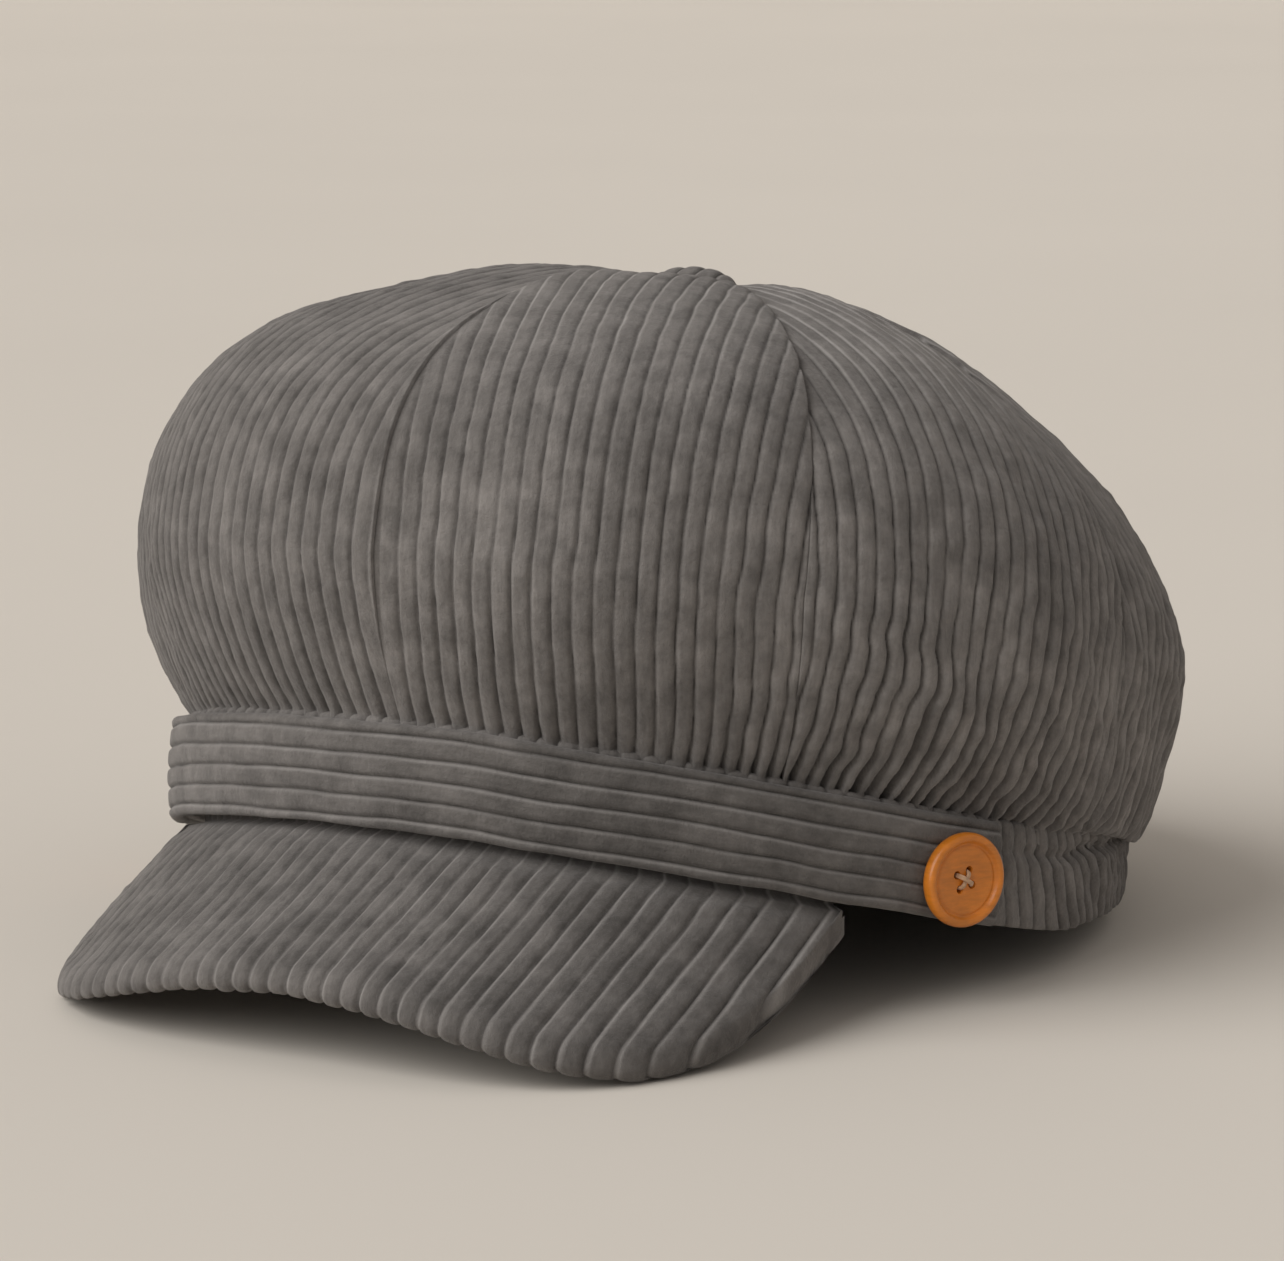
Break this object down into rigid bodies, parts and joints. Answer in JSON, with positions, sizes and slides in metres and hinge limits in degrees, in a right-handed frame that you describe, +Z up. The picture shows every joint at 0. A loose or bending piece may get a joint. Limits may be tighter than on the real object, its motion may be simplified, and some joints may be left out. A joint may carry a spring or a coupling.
{
  "type": "newsboy cap",
  "caption": "Soft eight-panel newsboy cap in wide-wale corduroy with a stiff front peak, a buttoned front strap and a covered top button.",
  "frame": {"origin": "on the table the cap stands on, straight below the centre of the head opening", "axes": "+Z up, -Y towards the peak, +X towards the wearer's left; the head opening is tilted 4.5 degrees, front up, as the cap stands"},
  "size_m": [0.2018, 0.2413, 0.1292],
  "materials": {
    "corduroy": "matte",
    "lining_cloth": "satin",
    "interlining": "matte",
    "sweatband_ribbon": "matte",
    "elastic": "matte",
    "label_cloth": "satin",
    "peak_board": "matte",
    "side_button": "polished",
    "button_thread": "matte",
    "button_metal": "satin",
    "grey_thread": "matte"
  },
  "bodies": {
    "cap": {"panel_front_left": "corduroy", "panel_temple_left": "corduroy", "panel_side_left": "corduroy", "panel_back_left": "corduroy", "panel_front_right": "corduroy", "panel_temple_right": "corduroy", "panel_side_right": "corduroy", "panel_back_right": "corduroy", "lining_front_left": "lining_cloth", "lining_temple_left": "lining_cloth", "lining_side_left": "lining_cloth", "lining_back_left": "lining_cloth", "lining_front_right": "lining_cloth", "lining_temple_right": "lining_cloth", "lining_side_right": "lining_cloth", "lining_back_right": "lining_cloth", "headband_cover": "corduroy", "headband_interlining": "interlining", "sweatband": "sweatband_ribbon", "back_elastic": "elastic", "size_label": "label_cloth", "care_label": "label_cloth", "front_strap": "corduroy", "strap_interlining": "interlining"},
    "peak": {"peak_top_cover": "corduroy", "peak_board": "peak_board", "peak_under_cover": "corduroy"},
    "left_button": {"side_button_left": "side_button", "side_button_thread_left": "button_thread"},
    "right_button": {"side_button_right": "side_button", "side_button_thread_right": "button_thread"},
    "top_button": {"top_button_cover": "corduroy", "top_button_shell": "button_metal", "top_button_back": "button_metal", "top_button_thread": "grey_thread"}
  },
  "joints": [
    {"name": "peak_flex", "type": "hinge", "parent": "cap", "child": "peak", "pos_m": [0, -0.07244, 0.03021], "axis": [1, 0, 0], "range_deg": [-3.5, 3.5], "stiffness_Nm_per_rad": 1.5},
    {"name": "left_button_turn", "type": "hinge", "parent": "cap", "child": "left_button", "pos_m": [0.08253, -0.03666, 0.02443], "axis": [0.9034, -0.4274, 0.0336], "range_deg": [-20, 20], "stiffness_Nm_per_rad": 0.002},
    {"name": "right_button_turn", "type": "hinge", "parent": "cap", "child": "right_button", "pos_m": [-0.08835, -0.01726, 0.01917], "axis": [-0.9726, -0.2316, 0.0182], "range_deg": [-20, 20], "stiffness_Nm_per_rad": 0.002},
    {"name": "top_button_turn", "type": "hinge", "parent": "cap", "child": "top_button", "pos_m": [0, 0.01546, 0.12099], "axis": [0, 0.0785, 0.9969], "range_deg": [-15, 15], "stiffness_Nm_per_rad": 0.002}
  ]
}
